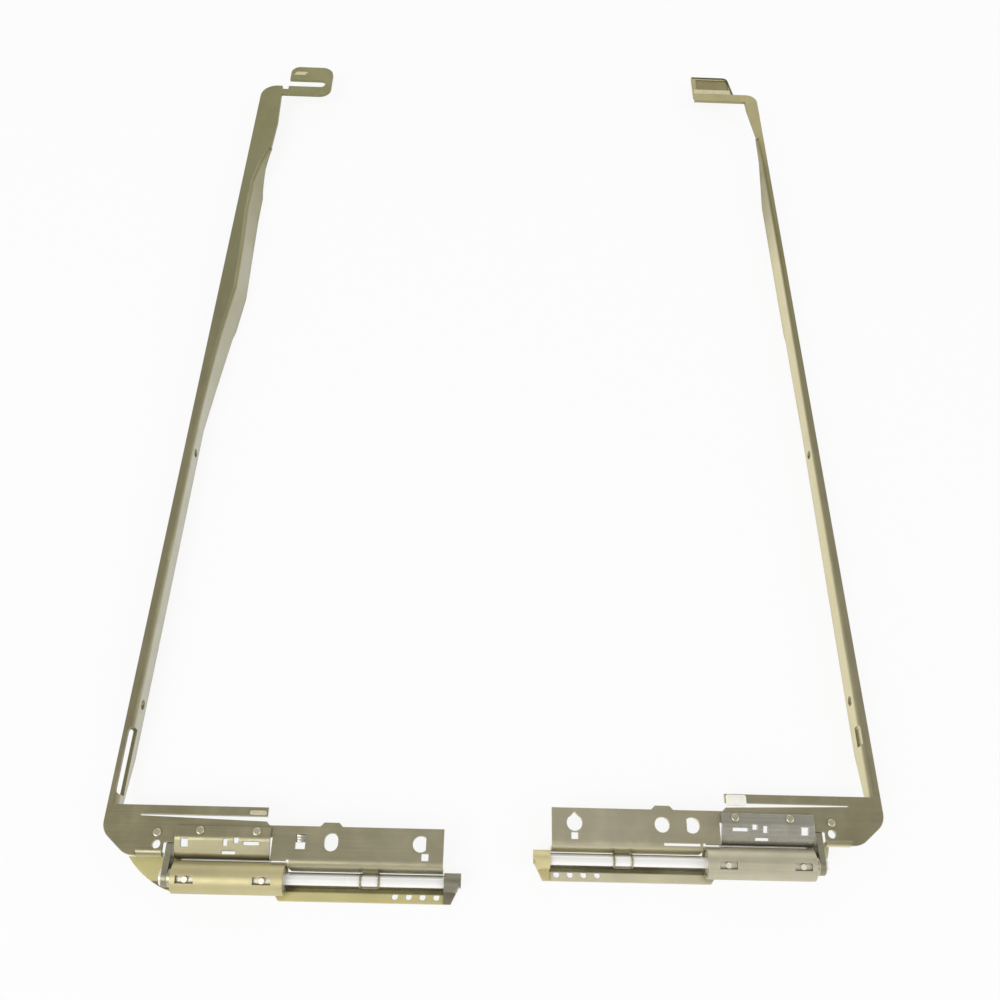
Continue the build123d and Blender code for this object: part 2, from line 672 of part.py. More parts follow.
def pieces(hand):
    """Every piece of one hinge, by name, in the hinge's own frame."""
    return {
        "display_bracket": display_bracket(hand),
        "cradle_plate": cradle_plate(),
        "spindle_cheek": spindle_cheek(),
        "hinge_shaft": hinge_shaft(),
        "thrust_washer": thrust_washer(),
        "saddle_strap": saddle_strap(),
        "shaft_rings": shaft_rings(),
        "bracket_rivets": bracket_rivets(),
        "lip_pad": lip_pad(hand),
        "base_leaf": base_leaf(hand),
        "friction_sleeve": friction_sleeve(),
        "end_cap": end_cap(),
    }


def place(solid, hand):
    """Move a piece from its hinge's own frame to its place in the pair."""
    if hand is RIGHT:
        return Pos(PAIR_WIDTH / 2, RIGHT_AHEAD - MIDDLE_Y, 0) * mirror(solid, about=Plane.YZ)
    return Pos(-PAIR_WIDTH / 2, -MIDDLE_Y, 0) * solid


os.makedirs("parts", exist_ok=True)
for hand in (LEFT, RIGHT):
    for name, solid in pieces(hand).items():
        export_step(place(solid, hand), f"parts/{hand.name}_{name}.step")
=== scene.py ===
"""Looks of the laptop hinge pair: finishes, small worked details, camera and light."""
import json
import logging
import math
from dataclasses import dataclass, field
from enum import Enum
from typing import Any, Iterable, Union

import bmesh
import bpy
from mathutils import Matrix, Vector


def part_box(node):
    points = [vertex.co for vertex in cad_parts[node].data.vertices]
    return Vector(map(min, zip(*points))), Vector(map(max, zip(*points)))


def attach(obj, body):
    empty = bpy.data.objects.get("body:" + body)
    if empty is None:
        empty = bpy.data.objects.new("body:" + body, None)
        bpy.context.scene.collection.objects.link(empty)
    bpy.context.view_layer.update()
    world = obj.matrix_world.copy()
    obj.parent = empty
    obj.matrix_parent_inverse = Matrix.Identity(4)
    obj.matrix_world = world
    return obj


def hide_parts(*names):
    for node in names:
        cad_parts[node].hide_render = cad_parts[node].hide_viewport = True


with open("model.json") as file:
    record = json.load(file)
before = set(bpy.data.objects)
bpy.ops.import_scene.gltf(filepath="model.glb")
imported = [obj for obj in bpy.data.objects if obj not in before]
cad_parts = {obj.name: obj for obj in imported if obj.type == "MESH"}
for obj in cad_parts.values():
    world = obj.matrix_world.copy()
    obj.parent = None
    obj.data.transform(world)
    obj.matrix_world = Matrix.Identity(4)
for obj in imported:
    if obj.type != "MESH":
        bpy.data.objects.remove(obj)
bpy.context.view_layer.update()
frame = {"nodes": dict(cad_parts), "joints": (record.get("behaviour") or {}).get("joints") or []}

LOG = logging.getLogger("hinge_pair")
MM = 0.001
BRACKETS = "display_brackets"
# Where one region's plating passes into the next, in metres.
PLATE_TO_ARM = (-0.110, -0.102)
CORNER_TO_FREE_END = (0.072, 0.022)
ARM_TO_HEAD = (0.045, 0.085)
FACE_TO_HEAD = (-0.03, 0.05)
HEAD_TO_TAB = (0.084, 0.102)
TABLE_TO_BARREL = (0.0007, 0.0011)
# Width over which the painted shadow beside the shaft fades out, in metres.
SHAFT_SHADOW_EDGE = (0.0006, 0.0009)
# Turn of the surface over which an edge counts as sharp, and a face as upright or level.
EDGE_TURN = (0.01, 0.22)
FACING = (0.35, 0.85)
LOOK_RAYS = 6
# Reach of the painted shade that darkens corners and the gaps between parts.
SHADE_REACH = 1.6 * MM
# Cells per metre of the plating's slow clouds, smears, chipped edges and specks.
CLOUDS = (70.0, 45.0, 70.0)
SMEARS = (260.0, 190.0, 260.0)
CHIPS = (900.0, 500.0, 900.0)
SPECKS = (2400.0, 2400.0, 2400.0)

Colour = tuple[float, float, float]
Point = tuple[float, float, float]
Corners = tuple[Point, Point]
Number = Union[int, float, "Signal"]


def srgb(red: int, green: int, blue: int) -> Colour:
    """Turn a colour as a screen shows it into linear light.

    Args:
        red: Red, 0 to 255.
        green: Green, 0 to 255.
        blue: Blue, 0 to 255.

    Returns:
        The linear colour, each part 0 to 1.
    """
    parts = []
    for value in (red, green, blue):
        share = value / 255
        parts.append(share / 12.92 if share <= 0.04045 else ((share + 0.055) / 1.055) ** 2.4)
    return tuple(parts)


# Colour of the painted shadow beside the shaft.
SHAFT_SHADOW = srgb(86, 80, 54)


class Side(Enum):
    """The two hinges of the pair, with the way that inward points along X."""

    LEFT = 1
    RIGHT = -1

    @property
    def label(self) -> str:
        """The side's name as the CAD nodes begin with it."""
        return self.name.lower()


class Grain(Enum):
    """How the sheet's rolling lines run, as stretches of the grain pattern per axis."""

    UP_THE_ARM = (2600.0, 55.0, 2600.0)
    ALONG_HINGE = (55.0, 2600.0, 2600.0)
    ROUND_SHAFT = (5200.0, 120.0, 120.0)
    NONE = (900.0, 900.0, 900.0)


class Signal:
    """A shader socket that takes part in Python expressions."""

    def __init__(self, shader: "Shader", socket: Any) -> None:
        """Keep the socket and the shader that it belongs to."""
        self.shader = shader
        self.socket = socket

    def _math(self, operation: str, first: Number, second: Number) -> "Signal":
        """Add one Math node.

        Args:
            operation: The Math node's operation.
            first: Value or link of the first socket.
            second: Value or link of the second socket.

        Returns:
            The node's value.
        """
        return self.shader.add("ShaderNodeMath", {"operation": operation}, {0: first, 1: second})

    def __add__(self, other: Number) -> "Signal":
        """Sum."""
        return self._math("ADD", self, other)

    def __radd__(self, other: Number) -> "Signal":
        """Sum, reflected."""
        return self._math("ADD", other, self)

    def __sub__(self, other: Number) -> "Signal":
        """Difference."""
        return self._math("SUBTRACT", self, other)

    def __rsub__(self, other: Number) -> "Signal":
        """Difference, reflected."""
        return self._math("SUBTRACT", other, self)

    def __mul__(self, other: Number) -> "Signal":
        """Product."""
        return self._math("MULTIPLY", self, other)

    def __rmul__(self, other: Number) -> "Signal":
        """Product, reflected."""
        return self._math("MULTIPLY", other, self)

    def __abs__(self) -> "Signal":
        """Size without its sign."""
        return self.shader.add("ShaderNodeMath", {"operation": "ABSOLUTE"}, {0: self})

    def clamped(self) -> "Signal":
        """The value held between 0 and 1."""
        return self.shader.add("ShaderNodeClamp", {}, {"Value": self})

    def between(self, low: float, high: float) -> "Signal":
        """Stretch the range from low to high over 0 to 1.

        Args:
            low: The value that becomes 0.
            high: The value that becomes 1.

        Returns:
            The stretched value, held between 0 and 1.
        """
        limits = {"Value": self, "From Min": low, "From Max": high}
        return self.shader.add("ShaderNodeMapRange", {"clamp": True}, limits)


class Shader:
    """One material's or world's node tree, filled through a single method."""

    def __init__(self, owner: Any) -> None:
        """Start the owner's tree afresh.

        Args:
            owner: The material or world.
        """
        owner.use_nodes = True
        self.tree = owner.node_tree
        self.tree.nodes.clear()

    def add(self, kind: str, settings: dict[str, Any], inputs: dict[Any, Any],
            output: Any = 0) -> Signal | None:
        """Add a node, set it, and link or set its sockets.

        Args:
            kind: The node's type.
            settings: Its attributes, or a ramp's stops, which are set first.
            inputs: Values or signals by socket name or number.
            output: Name or number of the output that is wanted.

        Returns:
            That output as a signal, or none for a node without outputs.
        """
        node = self.tree.nodes.new(kind)
        for key, value in settings.items():
            if key == "stops":
                self._set_stops(node.color_ramp, value)
            else:
                setattr(node, key, value)
        for key, value in inputs.items():
            if isinstance(value, Signal):
                self.tree.links.new(value.socket, node.inputs[key])
            elif isinstance(value, tuple) and node.inputs[key].type == "RGBA":
                node.inputs[key].default_value = (*value[:3], 1.0)
            else:
                node.inputs[key].default_value = value
        return Signal(self, node.outputs[output]) if len(node.outputs) else None

    @staticmethod
    def _set_stops(ramp: Any, stops: Iterable[tuple[float, Colour]]) -> None:
        """Give a colour ramp its stops.

        Args:
            ramp: The node's ramp.
            stops: Place and colour of each stop, at least two.
        """
        stops = list(stops)
        while len(ramp.elements) < len(stops):
            ramp.elements.new(0.5)
        for element, (place, colour) in zip(ramp.elements, stops):
            element.position = place
            element.color = (*colour, 1.0)

    def blend(self, share: Number, first: Any, second: Any, mode: str = "MIX") -> Signal:
        """Mix two colours.

        Args:
            share: How much of the second.
            first: First colour.
            second: Second colour.
            mode: The Mix node's blend type.

        Returns:
            The mixed colour.
        """
        settings = {"data_type": "RGBA", "blend_type": mode}
        return self.add("ShaderNodeMix", settings, {0: share, 6: first, 7: second}, output=2)

    def place(self) -> Signal:
        """The point on the object, in metres."""
        return self.add("ShaderNodeTexCoord", {}, {}, output="Object")

    def along(self, axis: str) -> Signal:
        """One coordinate of the point on the object, in metres."""
        return self.add("ShaderNodeSeparateXYZ", {}, {"Vector": self.place()}, output=axis)

    def noise(self, stretch: tuple[float, float, float], detail: float, roughness: float = 0.5) -> Signal:
        """Noise stretched differently along each axis.

        Args:
            stretch: Noise cells per metre along X, Y and Z.
            detail: Octaves.
            roughness: How strong the finer octaves are.

        Returns:
            A value about 0.5.
        """
        mapped = self.add("ShaderNodeMapping", {}, {"Vector": self.place(), "Scale": stretch})
        inputs = {"Vector": mapped, "Scale": 1.0, "Detail": detail, "Roughness": roughness}
        return self.add("ShaderNodeTexNoise", {}, inputs)

    def rounded(self, radius: float) -> Signal:
        """The surface's normal with its edges rounded to a radius in metres."""
        return self.add("ShaderNodeBevel", {"samples": LOOK_RAYS}, {"Radius": radius})

    def edges(self, radius: float) -> Signal:
        """Mask of the sharp edges.

        Args:
            radius: Reach of the mask in metres.

        Returns:
            0 on the flats, rising towards 1 at an edge.
        """
        flat = self.add("ShaderNodeNewGeometry", {}, {}, output="Normal")
        pair = {0: self.rounded(radius), 1: flat}
        along = self.add("ShaderNodeVectorMath", {"operation": "DOT_PRODUCT"}, pair, output="Value")
        return (1 - along).between(*EDGE_TURN)

    def levelness(self) -> Signal:
        """1 where the surface faces straight up or down, 0 where it stands upright."""
        facing = self.add("ShaderNodeTexCoord", {}, {}, output="Normal")
        return abs(self.add("ShaderNodeSeparateXYZ", {}, {"Vector": facing}, output="Z"))

    def crevices(self, reach: float) -> Signal:
        """Openness of the surface.

        Args:
            reach: How far off another surface still counts, in metres.

        Returns:
            1 in the open, falling towards 0 in a corner.
        """
        settings = {"samples": LOOK_RAYS, "only_local": False}
        return self.add("ShaderNodeAmbientOcclusion", settings, {"Distance": reach}, output="AO")


@dataclass(frozen=True)
class PlatedSteel:
    """Stamped or turned steel with a thin plating that is worn at the edges.

    Attributes:
        name: Name of the finish.
        colour: Plating where it is clean.
        shade: Plating where it has dulled.
        bare: Steel where the plating is rubbed off.
        grain: Way of the rolling or turning lines.
        roughness: Mean roughness.
        metallic: Share of metal in the surface.
        grain_depth: Height of the grain in metres.
        grain_tone: How far the grain lightens and darkens the plating.
        wear: How much of an edge is rubbed bare.
        dirt: How dark the painted shade in the corners is.
        edge_reach: Width of the rounded edge in metres.
        sides: Plating on the upright faces, where it is thinner, or none if it is the same there.
        low: Plating on the flats that lie near the table, or none if it is the same there.
        free_end: Plating at the plate's free end, or none if it is the same there.
        head: Plating of the arm's upper end, or none if it is the same there.
        tab: Plating of the tab past that end, or none if it is the same there.
        oil_line: Y of the painted shadow, a dark line on the leaf beside the shaft, in metres, or none.
    """

    name: str
    colour: Colour
    shade: Colour
    bare: Colour
    grain: Grain
    roughness: float = 0.38
    metallic: float = 0.85
    grain_depth: float = 6e-6
    grain_tone: float = 0.16
    wear: float = 0.6
    dirt: float = 0.45
    edge_reach: float = 0.16 * MM
    # sides: Painted sheen on the upright faces, a lighter colour for the floor and lamps they reflect, or
    # none if it is the same there.
    sides: Colour | None = None
    # low: Lighter colour on the flats that lie near the table, painted light for the brighter light they
    # catch, or none if it is the same there.
    low: Colour | None = None
    free_end: Colour | None = None
    # head: Darker colour towards the arm's upper end, or none if it is the same there; on the upright
    # flanges it is painted shade, for the dark they reflect.
    head: Colour | None = None
    tab: Colour | None = None
    oil_line: float | None = None

    def _grain_lines(self, shader: Shader) -> Signal:
        """Draw the rolling lines, which run along the hinge on the plate of an arm's sheet.

        Args:
            shader: The tree.

        Returns:
            A value about 0.5.
        """
        lines = shader.noise(self.grain.value, detail=3.0, roughness=0.6)
        if self.grain is not Grain.UP_THE_ARM:
            return lines
        crosswise = shader.noise(Grain.ALONG_HINGE.value, detail=3.0, roughness=0.6)
        plate = shader.along("Y").between(*PLATE_TO_ARM)
        return crosswise + plate * (lines - crosswise)

    @staticmethod
    def _near_table(shader: Shader) -> Signal:
        """1 on what lies on the table, 0 above it."""
        return 1 - shader.along("Z").between(*TABLE_TO_BARREL)

    def _regions(self, shader: Shader, plating: Signal, clouds: Signal) -> Signal:
        """Tint the regions whose plating looks different, and paint light and shade: lighter upright faces
        and low flats, darker upper flanges and the shadow beside the shaft.

        Args:
            shader: The tree.
            plating: Colour of the plating so far.
            clouds: Slow noise that breaks the regions' edges.

        Returns:
            The tinted plating.
        """
        uneven = 0.85 + 0.15 * clouds
        if self.free_end:
            inner = abs(shader.along("X")).between(*CORNER_TO_FREE_END)
            plating = shader.blend(inner * uneven, plating, self.free_end)
        # Painted sheen: the upright faces are made lighter for the light they reflect.
        if self.sides:
            upright = (1 - shader.levelness()).between(*FACING)
            plating = shader.blend(upright * uneven, plating, self.sides)
        # Darker towards the arm's upper end, reaching lower on the level faces than on the upright flanges;
        # on the flanges this is painted shade.
        if self.head:
            height = shader.along("Y")
            flange = height.between(*ARM_TO_HEAD)
            level = shader.levelness().between(*FACING)
            reach = flange + level * (height.between(*FACE_TO_HEAD) - flange)
            plating = shader.blend(reach * uneven, plating, self.head)
        if self.tab:
            past_head = shader.along("Y").between(*HEAD_TO_TAB)
            plating = shader.blend(past_head * uneven, plating, self.tab)
        # Painted light: the flats on the table are made lighter.
        if self.low:
            plating = shader.blend(self._near_table(shader) * uneven, plating, self.low)
        # Painted shadow: a dark line on the low flats beside the shaft.
        if self.oil_line is not None:
            away = abs(shader.along("Y") - self.oil_line)
            shadowed = self._near_table(shader) * (1 - away.between(*SHAFT_SHADOW_EDGE)) * (0.7 + 0.3 * clouds)
            plating = shader.blend(shadowed, plating, SHAFT_SHADOW)
        return plating

    def material(self) -> bpy.types.Material:
        """Build the finish.

        Returns:
            The material.
        """
        made = bpy.data.materials.new(self.name)
        shader = Shader(made)
        lines = self._grain_lines(shader)
        clouds = shader.noise(CLOUDS, detail=4.0, roughness=0.55).between(0.3, 0.7)
        smears = shader.noise(SMEARS, detail=5.0, roughness=0.6).between(0.42, 0.75)
        specks = shader.noise(SPECKS, detail=2.0).between(0.62, 0.8)
        edge = shader.edges(self.edge_reach)
        broken = shader.noise(CHIPS, detail=3.0).between(0.3, 0.62)
        rubbed = (edge * broken * self.wear).clamped()
        tone = (clouds * 0.7 + (lines - 0.5) * (2.5 * self.grain_tone)).clamped()
        plating = shader.blend(tone, self.shade, self.colour)
        plating = self._regions(shader, plating, clouds)
        plating = shader.blend(specks * 0.25, plating, self.shade)
        plated = shader.blend(rubbed, plating, self.bare)
        # Painted shade: occlusion darkens corners, holes and the gaps between parts towards a dark copy of
        # the plating.
        open_air = shader.crevices(SHADE_REACH)
        painted_shade = ((1 - open_air) * self.dirt).clamped()
        painted_shade_colour = tuple(0.32 * part for part in self.shade)
        colour = shader.blend(painted_shade, plated, painted_shade_colour)
        rough = (smears * 0.14 + (lines - 0.5) * 0.22 + painted_shade * 0.2 + (self.roughness - 0.07)).clamped()
        rounded = shader.rounded(self.edge_reach)
        relief = lines + specks * 0.5
        bump = {"Strength": 1.0, "Distance": self.grain_depth, "Height": relief, "Normal": rounded}
        normal = shader.add("ShaderNodeBump", {}, bump)
        surface = {"Base Color": colour, "Metallic": self.metallic, "Roughness": rough, "Normal": normal}
        bsdf = shader.add("ShaderNodeBsdfPrincipled", {}, surface)
        shader.add("ShaderNodeOutputMaterial", {}, {"Surface": bsdf})
        return made


@dataclass(frozen=True)
class PaleFoam:
    """Soft pad with fine pores and a little dust.

    Attributes:
        name: Name of the finish.
        colour: Clean foam.
        dust: Dusty foam.
    """

    name: str
    colour: Colour
    dust: Colour

    def material(self) -> bpy.types.Material:
        """Build the finish.

        Returns:
            The material.
        """
        made = bpy.data.materials.new(self.name)
        shader = Shader(made)
        pores = shader.noise((5200.0, 5200.0, 5200.0), detail=2.0)
        dusty = shader.noise((700.0, 900.0, 700.0), detail=4.0).between(0.45, 0.75)
        colour = shader.blend(dusty * 0.5, self.colour, self.dust)
        colour = shader.blend(pores.between(0.6, 0.8) * 0.3, colour, self.dust)
        bump = {"Strength": 0.7, "Distance": 0.03 * MM, "Height": pores}
        normal = shader.add("ShaderNodeBump", {}, bump)
        surface = {"Base Color": colour, "Roughness": 0.82, "Normal": normal}
        bsdf = shader.add("ShaderNodeBsdfPrincipled", {}, surface)
        shader.add("ShaderNodeOutputMaterial", {}, {"Surface": bsdf})
        return made


class Finishes:
    """Every finish of the pair, each built once."""

    def __init__(self) -> None:
        """Build the materials."""
        steel = srgb(214, 208, 184)
        self.brackets = {
            Side.LEFT: PlatedSteel(
                "olive_plating", srgb(174, 167, 134), srgb(150, 143, 111), steel, Grain.UP_THE_ARM,
                wear=0.3, sides=srgb(190, 188, 170), free_end=srgb(186, 179, 149),
                head=srgb(144, 141, 106), tab=srgb(138, 134, 96)).material(),
            Side.RIGHT: PlatedSteel(
                "warm_olive_plating", srgb(176, 168, 138), srgb(152, 145, 114), steel, Grain.UP_THE_ARM,
                wear=0.3, sides=srgb(222, 213, 172), free_end=srgb(206, 198, 170),
                head=srgb(130, 123, 86), tab=srgb(164, 155, 114)).material(),
        }
        self.leaves = {
            Side.LEFT: PlatedSteel(
                "champagne_plating", srgb(216, 206, 162), srgb(192, 182, 136), srgb(234, 227, 196),
                Grain.ALONG_HINGE, roughness=0.5, metallic=0.7, dirt=0.85, low=srgb(222, 213, 154),
                oil_line=-0.1251).material(),
            Side.RIGHT: PlatedSteel(
                "warm_grey_plating", srgb(214, 207, 184), srgb(186, 179, 154), srgb(232, 227, 208),
                Grain.ALONG_HINGE, roughness=0.5, metallic=0.7, grain_tone=0.3, dirt=0.85,
                low=srgb(230, 223, 190), oil_line=-0.1202).material(),
        }
        self.saddle = PlatedSteel(
            "brown_plating", srgb(182, 173, 138), srgb(158, 148, 114), srgb(206, 199, 172),
            Grain.NONE, roughness=0.42, dirt=0.25).material()
        self.cradle = PlatedSteel(
            "brushed_cradle", srgb(206, 204, 192), srgb(176, 172, 156), srgb(228, 227, 218),
            Grain.ALONG_HINGE, roughness=0.3, grain_depth=9e-6, grain_tone=0.3).material()
        # Near white with little metal, so the shaft renders white: a painted reflection in place of the
        # bright reflection of polished steel.
        self.shaft = PlatedSteel(
            "polished_shaft", srgb(255, 255, 253), srgb(250, 249, 245), srgb(255, 255, 255),
            Grain.ROUND_SHAFT, roughness=0.2, metallic=0.2, grain_depth=2e-6, grain_tone=0.05,
            wear=0.2, dirt=0.2).material()
        self.dark = PlatedSteel(
            "oiled_steel", srgb(176, 172, 146), srgb(146, 142, 118), srgb(198, 194, 174),
            Grain.NONE, roughness=0.42, wear=0.7).material()
        self.label = PlatedSteel(
            "bare_dark_panel", srgb(158, 149, 102), srgb(124, 116, 76), srgb(176, 168, 124),
            Grain.NONE, roughness=0.6, metallic=0.3).material()
        # Dark colour of the strip that paints the shade along the plain tab's edge.
        self.rim = PlatedSteel(
            "dark_edge", srgb(98, 91, 62), srgb(78, 72, 48), srgb(126, 118, 84),
            Grain.NONE, roughness=0.6, metallic=0.3).material()
        self.tape = PaleFoam("pale_tape", srgb(214, 205, 168), srgb(190, 180, 142)).material()
        self.bright = PlatedSteel(
            "plain_rivet_steel", srgb(222, 216, 192), srgb(196, 190, 164), srgb(244, 240, 224),
            Grain.NONE, roughness=0.3, wear=0.4).material()
        self.bronze = PlatedSteel(
            "sintered_bronze", srgb(244, 240, 224), srgb(222, 214, 190), srgb(250, 248, 236),
            Grain.NONE, roughness=0.4, metallic=0.5, wear=0.2, dirt=0.3).material()
        self.pads = {
            Side.LEFT: PaleFoam("beige_foam", srgb(206, 196, 166), srgb(180, 170, 140)).material(),
            Side.RIGHT: PaleFoam("white_foam", srgb(250, 247, 238), srgb(226, 220, 202)).material(),
        }
        self.caps = {
            Side.LEFT: PlatedSteel(
                "grey_zinc", srgb(158, 153, 134), srgb(130, 124, 106), srgb(196, 190, 170),
                Grain.NONE, roughness=0.5).material(),
            Side.RIGHT: PlatedSteel(
                "champagne_cap", srgb(232, 221, 170), srgb(210, 198, 146), srgb(240, 233, 204),
                Grain.NONE, roughness=0.5, metallic=0.5).material(),
        }

    def for_node(self, side: Side, piece: str) -> bpy.types.Material:
        """Find a CAD node's finish.

        Args:
            side: The hinge.
            piece: The node's name without its side.

        Returns:
            The material.
        """
        cradle = self.brackets[side] if side is Side.LEFT else self.cradle
        return {
            "display_bracket": self.brackets[side], "cradle_plate": cradle, "spindle_cheek": self.dark,
            "hinge_shaft": self.shaft, "thrust_washer": self.bright, "saddle_strap": self.saddle,
            "shaft_rings": self.saddle, "bracket_rivets": self.bright, "lip_pad": self.pads[side],
            "base_leaf": self.leaves[side], "friction_sleeve": self.bronze, "end_cap": self.caps[side],
        }[piece]


@dataclass(frozen=True)
class HingePlace:
    """Where one hinge lies, so that details can be placed in its own millimetres.

    Attributes:
        side: The hinge.
        outer: X of the arm's outer edge, in metres.
        lip: Y of the lip's edge, in metres.
    """

    side: Side
    outer: float
    lip: float

    AXIS_Y = -13.4
    AXIS_Z = 3.15

    @classmethod
    def of(cls, side: Side) -> "HingePlace":
        """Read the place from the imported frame.

        Args:
            side: The hinge.

        Returns:
            Its place.
        """
        low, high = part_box(f"{side.label}_display_bracket")
        joint = next(j for j in frame["joints"] if j["name"] == f"{side.label}_hinge")
        outer = low.x if side is Side.LEFT else high.x
        return cls(side, outer, joint["pos_m"][1] - cls.AXIS_Y * MM)

    def at(self, x: float, y: float, z: float) -> Vector:
        """Turn the hinge's own millimetres into the pair's metres.

        Args:
            x: Inward from the arm's outer edge.
            y: Up the arm from the lip's edge.
            z: Up from the table.

        Returns:
            The point.
        """
        return Vector((self.outer + self.side.value * x * MM, self.lip + y * MM, z * MM))


@dataclass
class Workshop:
    """Turns finished bmeshes into pieces that ride on the frame.

    Attributes:
        finishes: The finishes to dress them in.
        made: Names of the pieces so far.
    """

    finishes: Finishes
    made: list[str] = field(default_factory=list)

    def piece(self, name: str, mesh: bmesh.types.BMesh, material: bpy.types.Material, body: str,
              slot: str) -> bpy.types.Object:
        """Make a piece of a bmesh and set it riding.

        Args:
            name: The piece's name.
            mesh: Its shape, which is freed.
            material: Its finish.
            body: The CAD body that carries it.
            slot: Not used.

        Returns:
            The new object.
        """
        bmesh.ops.remove_doubles(mesh, verts=mesh.verts, dist=1e-7)
        bmesh.ops.recalc_face_normals(mesh, faces=mesh.faces)
        for face in mesh.faces:
            face.smooth = True
        data = bpy.data.meshes.new(name)
        mesh.to_mesh(data)
        mesh.free()
        data.set_sharp_from_angle(angle=math.radians(35))
        data.materials.append(material)
        made = bpy.data.objects.new(name, data)
        bpy.context.scene.collection.objects.link(made)
        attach(made, body)
        self.made.append(name)
        LOG.info("piece %s: %d faces on %s", name, len(data.polygons), body)
        return made


class CadNodes:
    """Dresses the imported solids."""

    def dress(self, finishes: Finishes) -> None:
        """Give every CAD node its finish.

        Args:
            finishes: The finishes.
        """
        for name, node in frame["nodes"].items():
            label, piece = name.split("_", 1)
            material = finishes.for_node(Side[label.upper()], piece)
            if not node.material_slots:
                node.data.materials.append(material)
            for slot in node.material_slots:
                slot.material = material
            LOG.info("node %s wears %s", name, material.name)


@dataclass
class LipPad:
    """Crowned foam pad at the free end of the lip, in place of its plain solid.

    Attributes:
        edge: Rounding of its edges, in millimetres.
        crown: How far the edges lie below the middle, in millimetres.
    """

    edge: float = 0.12
    crown: float = 0.12

    def build(self, shop: Workshop, place: HingePlace) -> None:
        """Make the pad.

        Args:
            shop: The workshop.
            place: The hinge.
        """
        node = f"{place.side.label}_lip_pad"
        low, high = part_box(node)
        mesh = bmesh.new()
        size = high - low
        centre = Matrix.Translation((low + high) / 2)
        bmesh.ops.create_cube(mesh, size=1.0, matrix=centre @ Matrix.Diagonal((*size, 1.0)))
        upright = [e for e in mesh.edges if abs(e.verts[0].co.z - e.verts[1].co.z) > size.z / 2]
        bmesh.ops.bevel(mesh, geom=upright, offset=3 * self.edge * MM, segments=4, profile=0.5,
                        affect="EDGES", material=-1)
        top = [f for f in mesh.faces if f.normal.z > 0.9]
        rim = bmesh.ops.inset_region(mesh, faces=top, thickness=2 * self.edge * MM, use_even_offset=True)
        bmesh.ops.inset_region(mesh, faces=top, thickness=self.edge * MM, use_even_offset=True)
        inner = {v for f in top for v in f.verts}
        for vert in mesh.verts:
            if vert.co.z > high.z - 1e-6 and vert not in inner:
                drop = self.crown if not any(f in rim["faces"] for f in vert.link_faces) else self.crown / 2
                vert.co.z -= drop * MM
        foam = shop.finishes.pads[place.side]
        pad = shop.piece(f"{place.side.label}_pad_foam", mesh, foam, BRACKETS, "pale_pad")
        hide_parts(node)


@dataclass
class StampedRings:
    """Rings that the rivet set leaves round the rivet heads.

    Attributes:
        spots: Middle of each ring in the hinge's millimetres.
        radius: Radius of a ring, in millimetres.
        bead: Radius of its bead, in millimetres.
    """

    spots: tuple[Point, ...] = ((20.0, -4.9, 6.3), (31.4, -4.9, 6.3), (11.25, -5.4, 5.7))
    radius: float = 0.36
    bead: float = 0.08

    def build(self, shop: Workshop, place: HingePlace) -> None:
        """Make the rings of one hinge as one piece.

        Args:
            shop: The workshop.
            place: The hinge.
        """
        mesh = bmesh.new()
        for spot in self.spots:
            centre = place.at(*spot)
            start = centre + Vector((self.radius * MM, 0, 0))
            turned = Matrix.Translation(start) @ Matrix.Rotation(math.pi / 2, 4, "X")
            ring = bmesh.ops.create_circle(mesh, segments=8, radius=self.bead * MM, matrix=turned)
            bound = {e for v in ring["verts"] for e in v.link_edges}
            bmesh.ops.spin(mesh, geom=list(ring["verts"]) + list(bound), cent=centre, axis=(0, 0, 1),
                           angle=2 * math.pi, steps=28, use_merge=True)
        shop.piece(f"{place.side.label}_rivet_rings", mesh, shop.finishes.bright, BRACKETS, "bright_steel")


@dataclass
class StakeMarks:
    """Staked rings on the shaft's head and on the end cap.

    Attributes:
        head_x: Outer face of the shaft's head, in the hinge's millimetres.
        cap_x: Inner face of the end cap.
        ring: Radius of the staked ring.
        bead: Radius of its bead.
        punch: Radius of the centre mark.
    """

    head_x: float = 12.9
    cap_x: float = 73.0
    ring: float = 0.95
    bead: float = 0.12
    punch: float = 0.42

    def _mark(self, place: HingePlace, x: float, outward: int) -> bmesh.types.BMesh:
        """Make one staked ring with its centre mark.

        Args:
            place: The hinge.
            x: Where the face lies.
            outward: 1 where the face looks inward along the hinge, -1 where it looks outward.

        Returns:
            The mark.
        """
        mesh = bmesh.new()
        centre = place.at(x, place.AXIS_Y, place.AXIS_Z)
        start = Matrix.Translation(centre + Vector((0, 0, self.ring * MM)))
        turned = start @ Matrix.Rotation(math.pi / 2, 4, "X")
        ring = bmesh.ops.create_circle(mesh, segments=8, radius=self.bead * MM, matrix=turned)
        bound = {e for v in ring["verts"] for e in v.link_edges}
        bmesh.ops.spin(mesh, geom=list(ring["verts"]) + list(bound), cent=centre, axis=(1, 0, 0),
                       angle=2 * math.pi, steps=32, use_merge=True)
        way = outward * place.side.value
        tip = Matrix.Translation(centre) @ Matrix.Rotation(way * math.pi / 2, 4, "Y")
        bmesh.ops.create_cone(mesh, cap_ends=True, segments=20, radius1=self.punch * MM,
                              radius2=0.5 * self.punch * MM, depth=2 * self.bead * MM, matrix=tip)
        return mesh

    def build(self, shop: Workshop, place: HingePlace) -> None:
        """Make the marks of one hinge.

        Args:
            shop: The workshop.
            place: The hinge.
        """
        label = place.side.label
        cap = shop.finishes.caps[place.side]
        slot = "cap_grey" if place.side is Side.LEFT else "leaf_champagne"
        head = self._mark(place, self.head_x, -1)
        shop.piece(f"{label}_shaft_stake", head, shop.finishes.shaft, BRACKETS, "polished_shaft")
        end = self._mark(place, self.cap_x - self.bead, 1)
        shop.piece(f"{label}_cap_stake", end, cap, f"{label}_base", slot)


